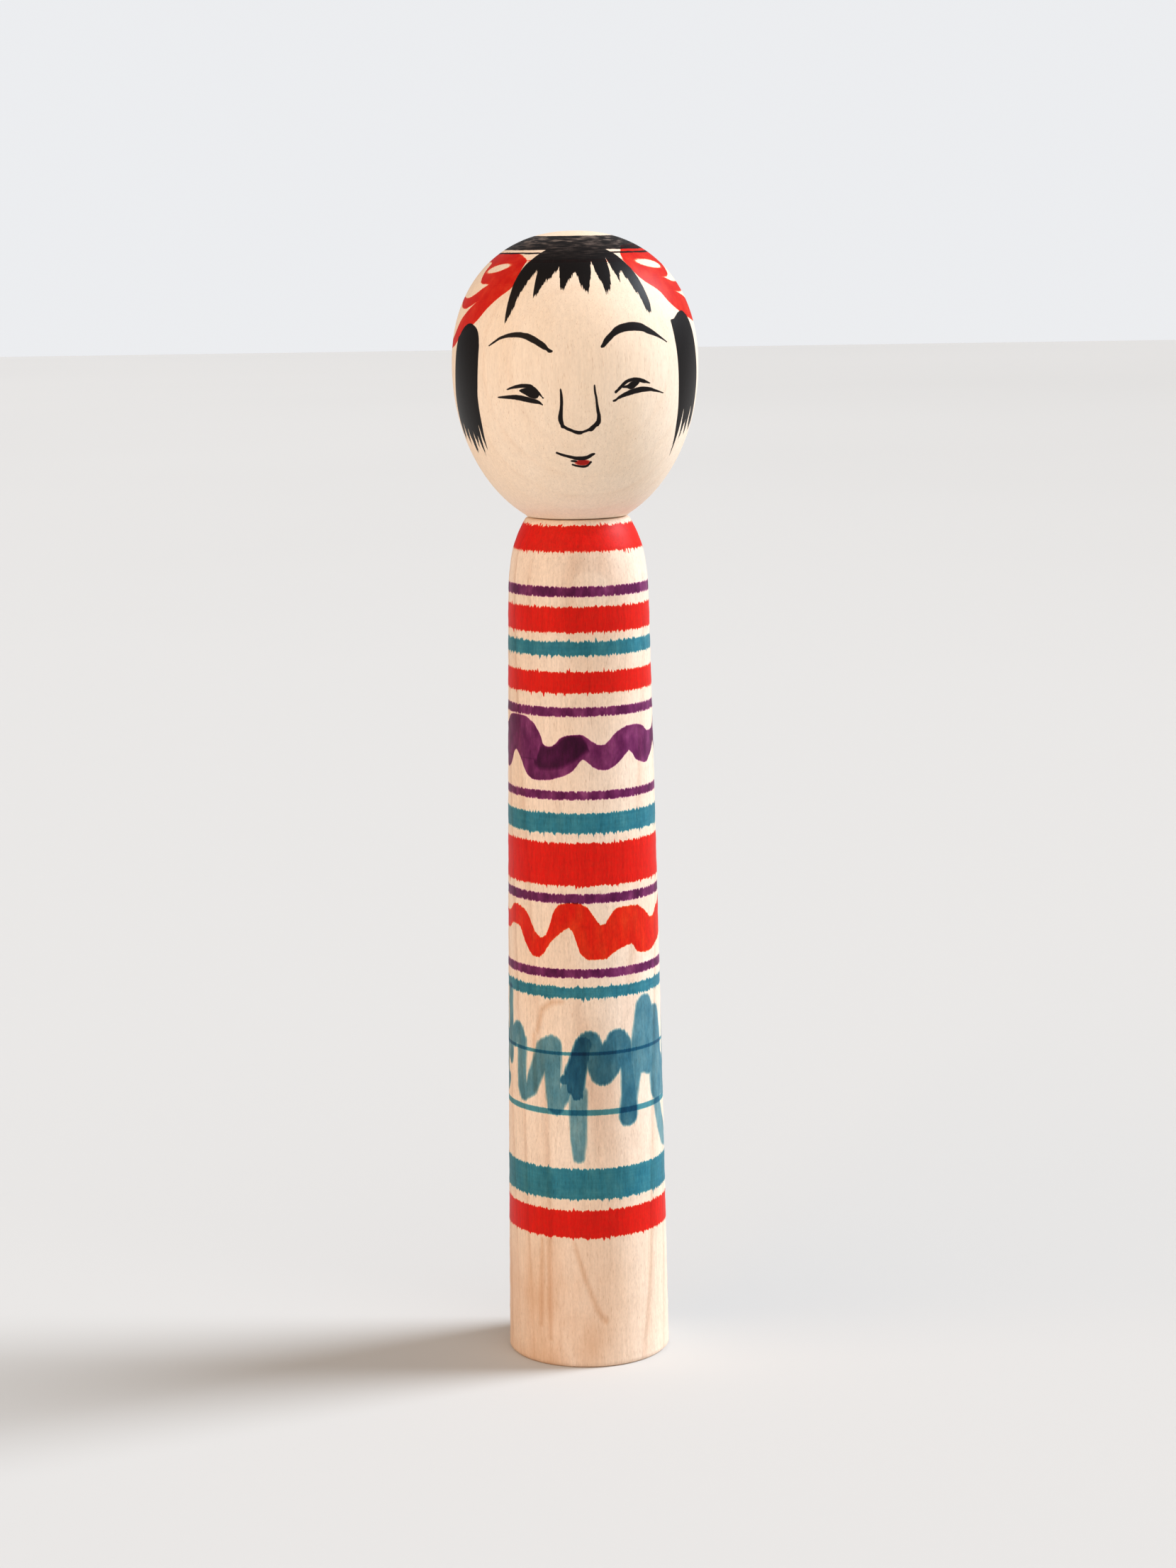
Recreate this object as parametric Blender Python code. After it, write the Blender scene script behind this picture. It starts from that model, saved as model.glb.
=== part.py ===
"""A turned wooden kokeshi doll: a solid body and a solid head that turns on its own neck tenon.

Metres, +Z up. The origin is the centre of the base on the surface that the doll stands on, Z runs up
the turning axis, and the painted face looks towards -Y. Both pieces are turned on one axis, so each is
one profile swept right round it, and the profiles come from the driving dimensions below.
"""

import math

import bpy

# Driving dimensions
DOLL_HEIGHT = 0.2427  # 8 sun, from the standing surface to the crown
BODY_HEIGHT = 0.1829  # to the flat neck face that the head sits over
BASE_RADIUS = 0.01754
BASE_CHAMFER = 0.0005
TAPER_PER_METRE = 0.0115  # how fast the body's radius falls at the base
TAPER_BOW = 0.024  # how much faster it falls further up, per metre squared
SHOULDER_START = 0.1605  # above this the body rounds over into its shoulder
SHOULDER_DROP = 0.0038  # how far the round brings the radius in at the neck face
SHOULDER_POWER = 3.8

HEAD_RADIUS = 0.02595
HEAD_WAIST_HEIGHT = 0.2147  # the head is widest here
JAW_DEPTH = 0.0345  # vertical half-axis of the ellipse below the widest line
CROWN_POWER = 2.2  # the crown is fuller than an ellipse, whose power is 2
SEAM_GAP = 0.0003  # open line between the head's flat underside and the neck face

TENON_RADIUS = 0.0048
TENON_LENGTH = 0.0150  # below the head's underside
BULB_RADIUS = 0.0056  # swelling near the tenon's end, which snaps past the socket's mouth
BULB_HEIGHT = 0.0030  # centre of the swelling above the tenon's end
BULB_HALF_HEIGHT = 0.0022
TENON_END_ROUND = 0.0010
RUNNING_GAP = 0.0003  # all round the tenon, its swelling and its end
NECK_EDGE_ROUND = 0.0003

TURNS = 64  # facets round each piece
TAPER_STEPS = 14
SHOULDER_STEPS = 12
JAW_STEPS = 16
CROWN_STEPS = 16
BULB_STEPS = 6

# Worked out from the driving dimensions
CROWN_HEIGHT = DOLL_HEIGHT - HEAD_WAIST_HEIGHT
HEAD_UNDERSIDE = BODY_HEIGHT + SEAM_GAP
TENON_END = HEAD_UNDERSIDE - TENON_LENGTH
BULB_CENTRE = TENON_END + BULB_HEIGHT
WELD = 0.00005

WOOD_COLOUR = (0.80, 0.62, 0.40, 1.0)
HEAD_COLOUR = (0.84, 0.68, 0.47, 1.0)
WAXED_ROUGHNESS = 0.42


def clear_scene():
    for leftover in list(bpy.data.objects):
        bpy.data.objects.remove(leftover)


def body_radius(height):
    """The body tapers upwards in a slight bow, then its shoulder rounds in towards the neck."""
    taper = BASE_RADIUS - TAPER_PER_METRE * height - TAPER_BOW * height**2
    if height <= SHOULDER_START:
        return taper
    up_shoulder = (height - SHOULDER_START) / (BODY_HEIGHT - SHOULDER_START)
    return taper - SHOULDER_DROP * up_shoulder**SHOULDER_POWER


def head_radius(height):
    """An ellipse below the widest line, and a fuller curve above it."""
    if height < HEAD_WAIST_HEIGHT:
        drop = (HEAD_WAIST_HEIGHT - height) / JAW_DEPTH
        return HEAD_RADIUS * math.sqrt(1 - drop**2)
    rise = min(1.0, (height - HEAD_WAIST_HEIGHT) / CROWN_HEIGHT)
    return HEAD_RADIUS * (1 - rise**CROWN_POWER) ** (1 / CROWN_POWER)


def bulb_bulge(height):
    """How far the tenon's swelling stands out at this height: a half wave, nothing beyond its ends."""
    along = (height - BULB_CENTRE) / BULB_HALF_HEIGHT
    if abs(along) >= 1:
        return 0.0
    return (BULB_RADIUS - TENON_RADIUS) * math.cos(along * math.pi / 2)


def steps(start, end, count):
    """Values from start to end, both included."""
    return [start + (end - start) * i / count for i in range(count + 1)]


def bulb_heights():
    return steps(BULB_CENTRE + BULB_HALF_HEIGHT, BULB_CENTRE - BULB_HALF_HEIGHT, BULB_STEPS)


def body_profile():
    """Socket floor, up the socket's wall, over the neck face, down the outside and in across the base."""
    floor = TENON_END - RUNNING_GAP
    socket = TENON_RADIUS + RUNNING_GAP
    outline = [(0.0, floor), (socket - TENON_END_ROUND, floor), (socket, floor + TENON_END_ROUND)]
    for height in reversed(bulb_heights()):
        outline.append((socket + bulb_bulge(height), height))
    outline.append((socket, BODY_HEIGHT - NECK_EDGE_ROUND))
    outline.append((socket + NECK_EDGE_ROUND, BODY_HEIGHT))
    outline.append((body_radius(BODY_HEIGHT) - NECK_EDGE_ROUND, BODY_HEIGHT))
    for height in steps(BODY_HEIGHT - NECK_EDGE_ROUND, SHOULDER_START, SHOULDER_STEPS):
        outline.append((body_radius(height), height))
    for height in steps(SHOULDER_START, BASE_CHAMFER, TAPER_STEPS)[1:]:
        outline.append((body_radius(height), height))
    outline.append((BASE_RADIUS - BASE_CHAMFER, 0.0))
    outline.append((0.0, 0.0))
    return outline


def head_profile():
    """Crown, down over the widest line to the flat underside, then down the tenon to its end."""
    outline = []
    for quarter in steps(0.0, math.pi / 2, CROWN_STEPS):
        height = HEAD_WAIST_HEIGHT + CROWN_HEIGHT * math.cos(quarter)
        outline.append((head_radius(height), height))
    outline[0] = (0.0, DOLL_HEIGHT)
    lowest = HEAD_UNDERSIDE + NECK_EDGE_ROUND
    for height in steps(HEAD_WAIST_HEIGHT, lowest, JAW_STEPS)[1:]:
        outline.append((head_radius(height), height))
    outline.append((head_radius(lowest) - NECK_EDGE_ROUND, HEAD_UNDERSIDE))
    outline.append((TENON_RADIUS, HEAD_UNDERSIDE))
    for height in bulb_heights():
        outline.append((TENON_RADIUS + bulb_bulge(height), height))
    outline.append((TENON_RADIUS, TENON_END + TENON_END_ROUND))
    outline.append((TENON_RADIUS - TENON_END_ROUND, TENON_END))
    outline.append((0.0, TENON_END))
    return outline


def painted_wood(name, colour):
    material = bpy.data.materials.new(name)
    material.use_nodes = True
    shader = material.node_tree.nodes["Principled BSDF"]
    shader.inputs["Base Color"].default_value = colour
    shader.inputs["Roughness"].default_value = WAXED_ROUGHNESS
    shader.inputs["Metallic"].default_value = 0.0
    material.diffuse_color = colour
    return material


def turned(name, outline, origin_height, material):
    """One closed solid from a profile in the XZ plane, with its origin on the turning axis."""
    mesh = bpy.data.meshes.new(name)
    points = [(radius, 0.0, height - origin_height) for radius, height in outline]
    edges = [(i, i + 1) for i in range(len(points) - 1)]
    mesh.from_pydata(points, edges, [])
    piece = bpy.data.objects.new(name, mesh)
    bpy.context.scene.collection.objects.link(piece)
    piece.location = (0.0, 0.0, origin_height)
    piece.data.materials.append(material)
    sweep = piece.modifiers.new("lathe", "SCREW")
    sweep.axis = "Z"
    sweep.angle = 2 * math.pi
    sweep.steps = TURNS
    sweep.render_steps = TURNS
    sweep.use_merge_vertices = True
    sweep.merge_threshold = WELD
    sweep.use_smooth_shade = True
    return piece


def make_body():
    return turned("body", body_profile(), 0.0, painted_wood("body_wood", WOOD_COLOUR))


def make_head():
    return turned("head", head_profile(), HEAD_UNDERSIDE, painted_wood("head_wood", HEAD_COLOUR))


def main():
    clear_scene()
    body = make_body()
    head = make_head()
    head.parent = body  # the body stands at the world origin, so the head's place is unchanged
    bpy.context.view_layer.update()


main()
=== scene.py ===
import math

import bpy
from mathutils import Matrix, Vector


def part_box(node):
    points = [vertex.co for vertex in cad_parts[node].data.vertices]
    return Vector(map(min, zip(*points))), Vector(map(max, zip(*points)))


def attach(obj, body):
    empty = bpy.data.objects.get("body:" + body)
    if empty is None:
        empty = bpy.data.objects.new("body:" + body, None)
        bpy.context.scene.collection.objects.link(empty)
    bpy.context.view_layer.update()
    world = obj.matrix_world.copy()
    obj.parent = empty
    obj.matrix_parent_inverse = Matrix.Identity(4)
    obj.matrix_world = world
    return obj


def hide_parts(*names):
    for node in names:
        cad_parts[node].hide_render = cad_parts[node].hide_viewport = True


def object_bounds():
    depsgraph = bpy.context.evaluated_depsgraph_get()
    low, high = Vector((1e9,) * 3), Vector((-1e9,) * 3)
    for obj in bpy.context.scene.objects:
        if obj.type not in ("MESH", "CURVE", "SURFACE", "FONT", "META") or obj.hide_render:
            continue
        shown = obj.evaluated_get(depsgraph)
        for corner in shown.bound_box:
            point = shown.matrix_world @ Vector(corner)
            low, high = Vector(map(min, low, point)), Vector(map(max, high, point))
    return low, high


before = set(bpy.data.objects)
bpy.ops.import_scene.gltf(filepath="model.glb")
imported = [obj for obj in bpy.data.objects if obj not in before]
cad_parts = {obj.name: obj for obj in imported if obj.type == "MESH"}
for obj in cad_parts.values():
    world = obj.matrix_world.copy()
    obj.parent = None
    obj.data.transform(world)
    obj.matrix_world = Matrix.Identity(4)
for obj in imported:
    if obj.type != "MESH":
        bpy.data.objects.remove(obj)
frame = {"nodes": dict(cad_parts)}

# A kokeshi doll in two pieces of waxed, painted wood: a tall body, and a head that turns on its neck.
# Meshes are in metres. Paint is laid out in millimetres and degrees: the azimuth is 0 in the middle of
# the face and grows towards the right as one faces the doll, and the tilt is 0 at the crown.

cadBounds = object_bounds()
bodyLow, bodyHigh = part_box("body")
headLow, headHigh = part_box("head")
print("frame loaded:", ", ".join(frame["nodes"]))


class Wire:
    # One socket of a material's nodes. Sums written on it add Math nodes.
    def __init__(self, tree, socket=None):
        self.tree = tree
        self.socket = socket

    def node(self, kind, settings=None, values=None, out=0):
        made = self.tree.nodes.new("ShaderNode" + kind)
        for name, value in (settings or {}).items():
            if name == "line":
                drawLine(made.mapping, value)
            else:
                setattr(made, name, value)
        for slot, value in (values or {}).items():
            if isinstance(value, Wire):
                self.tree.links.new(value.socket, made.inputs[slot])
            else:
                made.inputs[slot].default_value = value
        return Wire(self.tree, made.outputs[out])

    def other(self, out):
        return Wire(self.tree, self.socket.node.outputs[out])

    def maths(self, operation, *terms):
        # this socket comes first
        return self.node("Math", {"operation": operation}, dict(enumerate((self, *terms))))

    def reflected(self, operation, term):
        return self.node("Math", {"operation": operation}, {0: term, 1: self})

    def clamped(self):
        # a Clamp node, because a Math node's own clamp puts it out of turn and fills the shader's memory
        return self.node("Clamp", None, {"Value": self})

    def __add__(self, term):
        return self.maths("ADD", term)

    __radd__ = __add__

    def __sub__(self, term):
        return self.maths("SUBTRACT", term)

    def __rsub__(self, term):
        return self.reflected("SUBTRACT", term)

    def __mul__(self, term):
        return self.maths("MULTIPLY", term)

    __rmul__ = __mul__

    def __neg__(self):
        return self * -1.0

    def __rpow__(self, term):
        return self.reflected("POWER", term)

    def __abs__(self):
        return self.maths("ABSOLUTE")

    def least(self, term):
        return self.maths("MINIMUM", term)

    def most(self, term):
        return self.maths("MAXIMUM", term)

    def edge(self, feather):
        # 0 outside and 1 inside a painted shape, from a distance that is positive inside it
        return self.maths("MULTIPLY_ADD", 0.5 / feather, 0.5).clamped()

    def ramp(self, low, high):
        # 0 at low and 1 at high, clamped
        return self.maths("MULTIPLY_ADD", 1 / (high - low), -low / (high - low)).clamped()

    def along(self, points):
        # a value read off a line through (input, output) points, level beyond both ends; a point with a
        # third entry is a sharp corner
        left, right = points[0][0], points[-1][0]
        low = min(point[1] for point in points)
        high = max(point[1] for point in points)
        tall = max(high - low, 1e-6)  # a level line has no height to divide by
        line = [((p[0] - left) / (right - left), (p[1] - low) / tall, len(p) > 2) for p in points]
        share = self.ramp(left, right)
        read = self.node("FloatCurve", {"line": line}, {"Value": share})
        return read.maths("MULTIPLY_ADD", tall, low)

    def noise(self, blotch, detail=2.0, roughness=0.5):
        # noise over a place in millimetres; blotch is the size of one blotch along X, Y and Z
        finer = [1 / size for size in blotch]
        place = self.node("VectorMath", {"operation": "MULTIPLY"}, {0: self, 1: finer})
        values = {"Vector": place, "Scale": 1.0, "Detail": detail, "Roughness": roughness}
        return self.node("TexNoise", None, values)

    def mixed(self, under, over):
        # this socket is the share of over
        return self.node("Mix", {"data_type": "RGBA"}, {0: self, 6: under, 7: over}, out=2)

    def through(self, film):
        # this colour seen through a clear film of another
        settings = {"data_type": "RGBA", "blend_type": "MULTIPLY"}
        return self.node("Mix", settings, {0: 1.0, 6: self, 7: film}, out=2)


def drawLine(mapping, line):
    curve = mapping.curves[0]
    curve.points[0].location = line[0][:2]
    curve.points[1].location = line[-1][:2]
    for across, up, _ in line[1:-1]:
        curve.points.new(across, up)
    for point, (_, _, sharp) in zip(curve.points, line):
        point.handle_type = "VECTOR" if sharp else "AUTO_CLAMPED"
    mapping.extend = "HORIZONTAL"
    mapping.update()


def colour(red, green, blue):
    # screen values up to 255 to the linear values that a shader takes
    shares = (red / 255, green / 255, blue / 255)
    linear = [c / 12.92 if c <= 0.04045 else ((c + 0.055) / 1.055) ** 2.4 for c in shares]
    return (*linear, 1.0)


def newMaterial(name, finish):
    # what is the same all over the surface is set on the shader itself
    material = bpy.data.materials.new(name)
    material.use_nodes = True
    shader = material.node_tree.nodes["Principled BSDF"]
    for socket, value in finish.items():
        shader.inputs[socket].default_value = value
    return material, Wire(material.node_tree)


def connect(material, sockets):
    shader = material.node_tree.nodes["Principled BSDF"]
    for socket, wire in sockets.items():
        material.node_tree.links.new(wire.socket, shader.inputs[socket])


# A painted shape is a distance from its edge, positive inside it.
def between(across, low, high):
    return (across - low).least(high - across)


def distance(across, up):
    return (across * across + up * up).maths("SQRT")


def union(shapes):
    # several painted shapes as one
    inside = None
    for reach in shapes:
        inside = reach if inside is None else inside.most(reach)
    return inside


def brushed(run, across, arcs):
    # Painted lines that follow run. Each arc lists (run, across, half width), and tapers away within a
    # degree past either end.
    past, gone = 0.9, -1.0
    centre, width = [], []
    for arc in arcs:
        centre += [point[:2] for point in arc]
        width.append((arc[0][0] - past, gone))
        width += [(point[0], point[2]) for point in arc]
        width.append((arc[-1][0] + past, gone))
    middle = run.along(centre)
    return run.along(width) - abs(across - middle)


# The wood of both pieces: growth rings around a pith that lies behind the doll. Sizes of noise are
# those of one blotch, in millimetres.
woodFigure = {
    "warp": (26, 26, 90),  # bends the rings
    "ring": [(0, 0.35), (0.12, 0), (0.45, 0.05), (0.82, 0.5), (0.93, 1), (1, 0.35)],  # how late its wood is
    "patches": (9, 9, 40),  # where the rings show
    "fleck": (0.6, 0.6, 6.5),
    "pore": (0.13, 0.13, 1.5),
    "poreShare": 0.35,
    "cloud": (16, 16, 45),
    "grit": (0.4, 0.4, 0.8),
}


def woodGrain(place, height, wood):
    pithX, pithY, lean, spacing = wood["pith"]
    warp = place.noise(woodFigure["warp"], detail=1.0)
    away = place.node("VectorMath", {"operation": "SUBTRACT"}, {0: place, 1: (pithX, pithY, 0)})
    away = away.node("VectorMath", {"operation": "MULTIPLY"}, {0: away, 1: (1, 1, 0)})
    ring = away.node("VectorMath", {"operation": "LENGTH"}, {0: away}, out="Value")
    ring = ring + height * lean + warp * wood["warp"]
    phase = (ring * (1 / spacing)).maths("FRACT")
    late = phase.along(woodFigure["ring"])
    patchy = place.noise(woodFigure["patches"], detail=2.0).ramp(0.3, 0.65)
    return {
        "late": late * patchy,
        "fleck": place.noise(woodFigure["fleck"], detail=3.4, roughness=0.62),
        "pore": place.noise(woodFigure["pore"], detail=0.0).ramp(0.66, 0.8),
        "cloud": place.noise(woodFigure["cloud"], detail=3.0),
        "grit": place.noise(woodFigure["grit"], detail=2.0),
    }


def woodColour(grain, wood):
    tone = grain["cloud"].ramp(0.3, 0.7).mixed(wood["pale"], wood["warm"])
    tone = (grain["late"] * wood["lateShare"]).mixed(tone, wood["late"])
    tone = (grain["pore"] * woodFigure["poreShare"]).mixed(tone, wood["pore"])
    dark, fine = wood["fleckDepth"], wood["gritDepth"]
    return scaled(tone, grain["fleck"] * dark + (grain["grit"] * fine + (1 - (dark + fine) * 0.5)))


def scaled(tone, light):
    return tone.through(light.node("CombineColor", None, {0: light, 1: light, 2: light}))


def dyed(tone, amount, dye):
    # Dye soaked into the wood: each layer lets through the same share of each colour again.
    parts = [share ** amount for share in dye]
    return tone.through(amount.node("CombineColor", None, dict(enumerate(parts))))


def dyeFor(target, wood):
    # what one layer lets through, from the colour that it gives on this wood
    clearest, darkest = 0.98, 0.002
    return [min(clearest, max(darkest, painted / bare)) for painted, bare in zip(target[:3], wood[:3])]


def depthOf(lay, *noises):
    # How deep a dye lies. A lay lists the share of each noise, and then the least depth.
    depth = None
    for noise, share in zip(noises, lay):
        part = noise * share
        depth = part if depth is None else depth + part
    return depth + lay[-1]


def waxRoughness(grain, painted, wax):
    return wax["bare"] - painted * wax["dyeSmooths"] + (grain["cloud"] - 0.5) * wax["patches"]


def grainRelief(grain, relief):
    # flecks and late wood stand proud, and pores are pits
    height = grain["fleck"] * relief["fleck"] - grain["pore"] * relief["pore"]
    height = height + grain["late"] * relief["late"]
    bump = {"Strength": relief["strength"], "Distance": relief["depth"], "Height": height}
    return height.node("Bump", None, bump)


# Both pieces are turned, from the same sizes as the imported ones, in metres
shape = {
    "turns": 256,  # facets round each piece
    "row": 0.0007,  # height of one row of facets
    "fineRow": 0.0004,  # where the profile curves more tightly
    "crownRows": 90,
    "taper": 0.0115,  # how fast the body narrows from its base
    "bow": 0.024,  # how much faster further up
    "shoulderStart": 0.1605,
    "shoulderDrop": 0.0038,  # how far the round of the shoulder comes in
    "shoulderPower": 3.8,
    "baseRadius": 0.01754,
    "baseChamfer": 0.0005,
    "headWaist": 0.2147,  # the head is widest here
    "jawDepth": 0.0345,  # from there down to where its ellipse would close
    "crownPower": 2.2,  # a fuller curve than an ellipse, whose power is 2
    "tenonRadius": 0.0048,
    "bulb": 0.0008,  # how far the swelling near the tenon's end stands out
    "bulbUp": 0.0030,  # its middle, above the tenon's end
    "bulbHalf": 0.0022,
    "endRound": 0.0010,
    "gap": 0.0003,  # running gap round the tenon
    "edgeRound": 0.0003,
    "toolMarks": 0.000025,  # depth of the faint rings that the turning tool left
    "toolWaves": [(900, 1.0, 0.0), (2170, 0.6, 1.3)],  # pitch, share and start of each wave in them
    # extra rings that keep flat faces evenly shaded, as shares of the way out
    "rings": {"floor": 0.5, "neck": 0.7, "rim": 0.985, "base": 0.5, "underside": 0.4, "tenonEnd": 0.4},
}


def toolMark(height):
    waves = (share * math.sin(height * pitch + start) for pitch, share, start in shape["toolWaves"])
    return shape["toolMarks"] * sum(waves)


def bodyRadius(height):
    radius = shape["baseRadius"] - shape["taper"] * height - shape["bow"] * height ** 2
    start, top = shape["shoulderStart"], bodyHigh[2]
    if height > start:
        radius -= shape["shoulderDrop"] * ((height - start) / (top - start)) ** shape["shoulderPower"]
    return radius + toolMark(height)


def headRadius(height):
    widest, waist = headHigh[0], shape["headWaist"]
    if height < waist:
        return widest * math.sqrt(1 - ((waist - height) / shape["jawDepth"]) ** 2)
    rise = min(1.0, (height - waist) / (headHigh[2] - waist))
    return widest * (1 - rise ** shape["crownPower"]) ** (1 / shape["crownPower"])


def bulge(height, end):
    # how far the tenon's swelling stands out
    along = (height - end - shape["bulbUp"]) / shape["bulbHalf"]
    return shape["bulb"] * math.cos(along * math.pi / 2) if abs(along) < 1 else 0.0


def spread(start, end, step):
    count = max(1, round(abs(end - start) / step))
    return [start + (end - start) * i / count for i in range(count + 1)]


def bodyOutline():
    # socket floor, up its wall, over the neck, down the outside and in across the base
    base, top, end = bodyLow[2], bodyHigh[2], headLow[2]
    edge, rings = shape["edgeRound"], shape["rings"]
    floor, socket = end - shape["gap"], shape["tenonRadius"] + shape["gap"]
    outline = [(0.0, floor), (socket * rings["floor"], floor), (socket - shape["endRound"], floor)]
    for height in spread(floor + shape["endRound"], top - edge, shape["fineRow"]):
        outline.append((socket + bulge(height, end), height))
    neck = bodyRadius(top)
    outline += [(socket + edge, top), (neck * rings["neck"], top), (neck - edge, top)]
    outline += [(bodyRadius(h), h) for h in spread(top - edge, base + shape["baseChamfer"], shape["row"])]
    rim = shape["baseRadius"] - shape["baseChamfer"]
    outline += [(rim, base), (rim * rings["rim"], base), (rim * rings["base"], base), (0.0, base)]
    return outline


def headOutline():
    # crown, down to the flat underside, in to the tenon and down to its end
    top, waist, end = headHigh[2], shape["headWaist"], headLow[2]
    under = bodyHigh[2] + shape["gap"]
    edge, tenon, rings = shape["edgeRound"], shape["tenonRadius"], shape["rings"]
    rows, fine = shape["crownRows"], shape["fineRow"]
    outline = []
    for i in range(rows):
        height = waist + (top - waist) * math.cos(math.pi / 2 * i / rows)
        outline.append((headRadius(height), height))
    outline[0] = (0.0, top)
    outline += [(headRadius(h), h) for h in spread(waist, under + edge, fine)]
    brim = headRadius(under + edge) - edge
    outline += [(brim, under), (tenon + rings["underside"] * (brim - tenon), under), (tenon, under)]
    for height in spread(under - fine, end + shape["endRound"], fine):
        outline.append((tenon + bulge(height, end), height))
    outline += [(tenon - shape["endRound"], end), (tenon * rings["tenonEnd"], end), (0.0, end)]
    return outline


def turned(name, outline, material):
    # one closed skin: a point where the outline meets the axis, a ring everywhere else
    turns = shape["turns"]
    circle = [(math.cos(2 * math.pi * i / turns), math.sin(2 * math.pi * i / turns)) for i in range(turns)]
    points, rings = [], []
    for radius, height in outline:
        first = len(points)
        if radius == 0.0:
            points.append((0.0, 0.0, height))
        else:
            points += [(radius * across, radius * deep, height) for across, deep in circle]
        rings.append(range(first, len(points)))
    faces = []
    for upper, lower in zip(rings, rings[1:]):
        for i in range(turns):
            j = (i + 1) % turns
            if len(upper) == 1:
                faces.append((upper[0], lower[i], lower[j]))
            elif len(lower) == 1:
                faces.append((upper[i], lower[0], upper[j]))
            else:
                faces.append((upper[i], lower[i], lower[j], upper[j]))
    mesh = bpy.data.meshes.new(name)
    mesh.from_pydata(points, [], faces)
    mesh.polygons.foreach_set("use_smooth", [True] * len(faces))
    mesh.materials.append(material)
    piece = bpy.data.objects.new(name, mesh)
    bpy.context.scene.collection.objects.link(piece)
    return piece


# Heights are in millimetres above the base. A band lists its lower and upper edge.
bodyPaint = {
    "red": [(176.7, 181.7), (159.9, 165.0), (147.1, 151.4), (106.1, 115.0), (29.1, 35.0)],
    "purple": [(167.4, 169.3), (142.2, 143.9), (124.5, 126.1), (102.3, 104.1), (86.2, 87.9)],
    "teal": [(155.0, 157.8), (117.3, 121.4), (81.8, 84.0), (37.6, 44.2)],
    "tealLines": [(69.25, 69.95), (56.1, 57.3)],
    "redDye": colour(212, 22, 8),
    "purpleDye": colour(102, 32, 82),
    "tealDye": colour(46, 118, 136),
    "orangeDye": colour(216, 40, 10),
    "brushDye": colour(102, 144, 153),  # one pass of the thin teal brush
    # how much each kind of stroke left, in passes of the brush
    "brushLoads": {"drips": 1.0, "light": 1.22, "medium": 1.3, "full": 1.62, "double": 2.3},
    # how deep each dye lies: shares of the noises in the note, then the least depth
    "tealLay": (0.14, 0.24, 0.76),  # smear, pool
    "redLay": (0.06, 0.16, 0.84),  # smear, speck
    "orangeLay": (0.45, 0.85),  # pool
    "purpleLay": (0.6, 0.6, 0.68),  # pool, and where the brush passed twice
    "brushLay": (0.4, 0.8),  # pool
    "showThrough": (0.14, 0.2, -0.17),  # speck, fleck
    "lineDepth": 0.75,
    "threadDepth": 0.4,
    # how soft each edge is, and how ragged, in millimetres
    "soft": {"band": 0.14, "line": 0.12, "wave": 0.16, "brush": 0.3, "thread": 0.7, "overlap": 0.5},
    "ragged": {"band": 1.3, "line": 0.25, "orange": 0.9, "purple": 0.35, "brush": 0.9, "thread": 0.8,
               "overlap": 0.5},
    "creepRun": (1.2, 0.7),  # how far dye ran down the grain: the share where it was wet, then everywhere
    "liftRun": (0.7, 0.4),  # and up it
    "purpleRun": 0.15,  # the purple lines dried before they ran further
    # sizes of the noises along X, Y and Z
    "teeth": (0.36, 0.36, 8),
    "wet": (3.5, 3.5, 6),
    "creep": (0.45, 0.45, 16),
    "lift": (0.45, 0.45, 11),
    "smear": (7, 7, 0.7),  # how fully the turning brush covered
    "speck": (0.5, 0.5, 0.9),
    "pool": (2.4, 2.4, 5),
    # painted shade: the foot is darkened to brown in patches, most at its lower left
    "footShade": colour(206, 154, 112),
    "footShadeShare": 0.75,
    "footShadeUp": (44, 6),  # none at the first height, all at the second
    "footShadeAcross": (13, -3),  # and so from right to left
    "footShadePatches": (11, 11, 22),
    "wood": {
        "pith": (-8.5, 40, 0.06, 4.0),  # its place, lean, and the spacing of the rings
        "warp": 5.0,
        "pale": colour(240, 218, 198),
        "warm": colour(233, 205, 179),
        "late": colour(184, 134, 100),
        "lateShare": 0.40,
        "pore": colour(164, 118, 88),
        "fleckDepth": 0.42,
        "gritDepth": 0.30,
    },
    "wax": {"bare": 0.52, "dyeSmooths": 0.04, "patches": 0.12},
    "relief": {"fleck": 0.6, "pore": 0.5, "late": 0.4, "strength": 0.35, "depth": 0.00006},
    "finish": {"Specular IOR Level": 0.11},
}

# (azimuth, height) along the edges of the two painted waves, and where the purple brush passed twice
purpleWaveTop = [
    (-180, 139.5), (-165, 141.5), (-150, 141), (-138, 137), (-126, 135.6), (-114, 137.5), (-100, 139.6),
    (-88, 139.2), (-80, 139.8), (-65, 141.7), (-54, 141.8), (-44, 141.1), (-36.5, 139.4), (-32.6, 137.6),
    (-30, 136), (-26, 135.6), (-21, 136.1), (-14.7, 137.6), (-8, 138.1), (-2, 138.2), (4.5, 137.6),
    (11, 136.4), (17, 135.9), (21, 136.4), (27.5, 138), (35, 139.1), (45, 139.6), (56, 139.2),
    (63, 138.1), (68.5, 137.6), (80, 138.4), (92, 140.8), (104, 141.2), (116, 139), (128, 136.2),
    (140, 137), (152, 139.8), (166, 140.4), (180, 139.5)]
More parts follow.
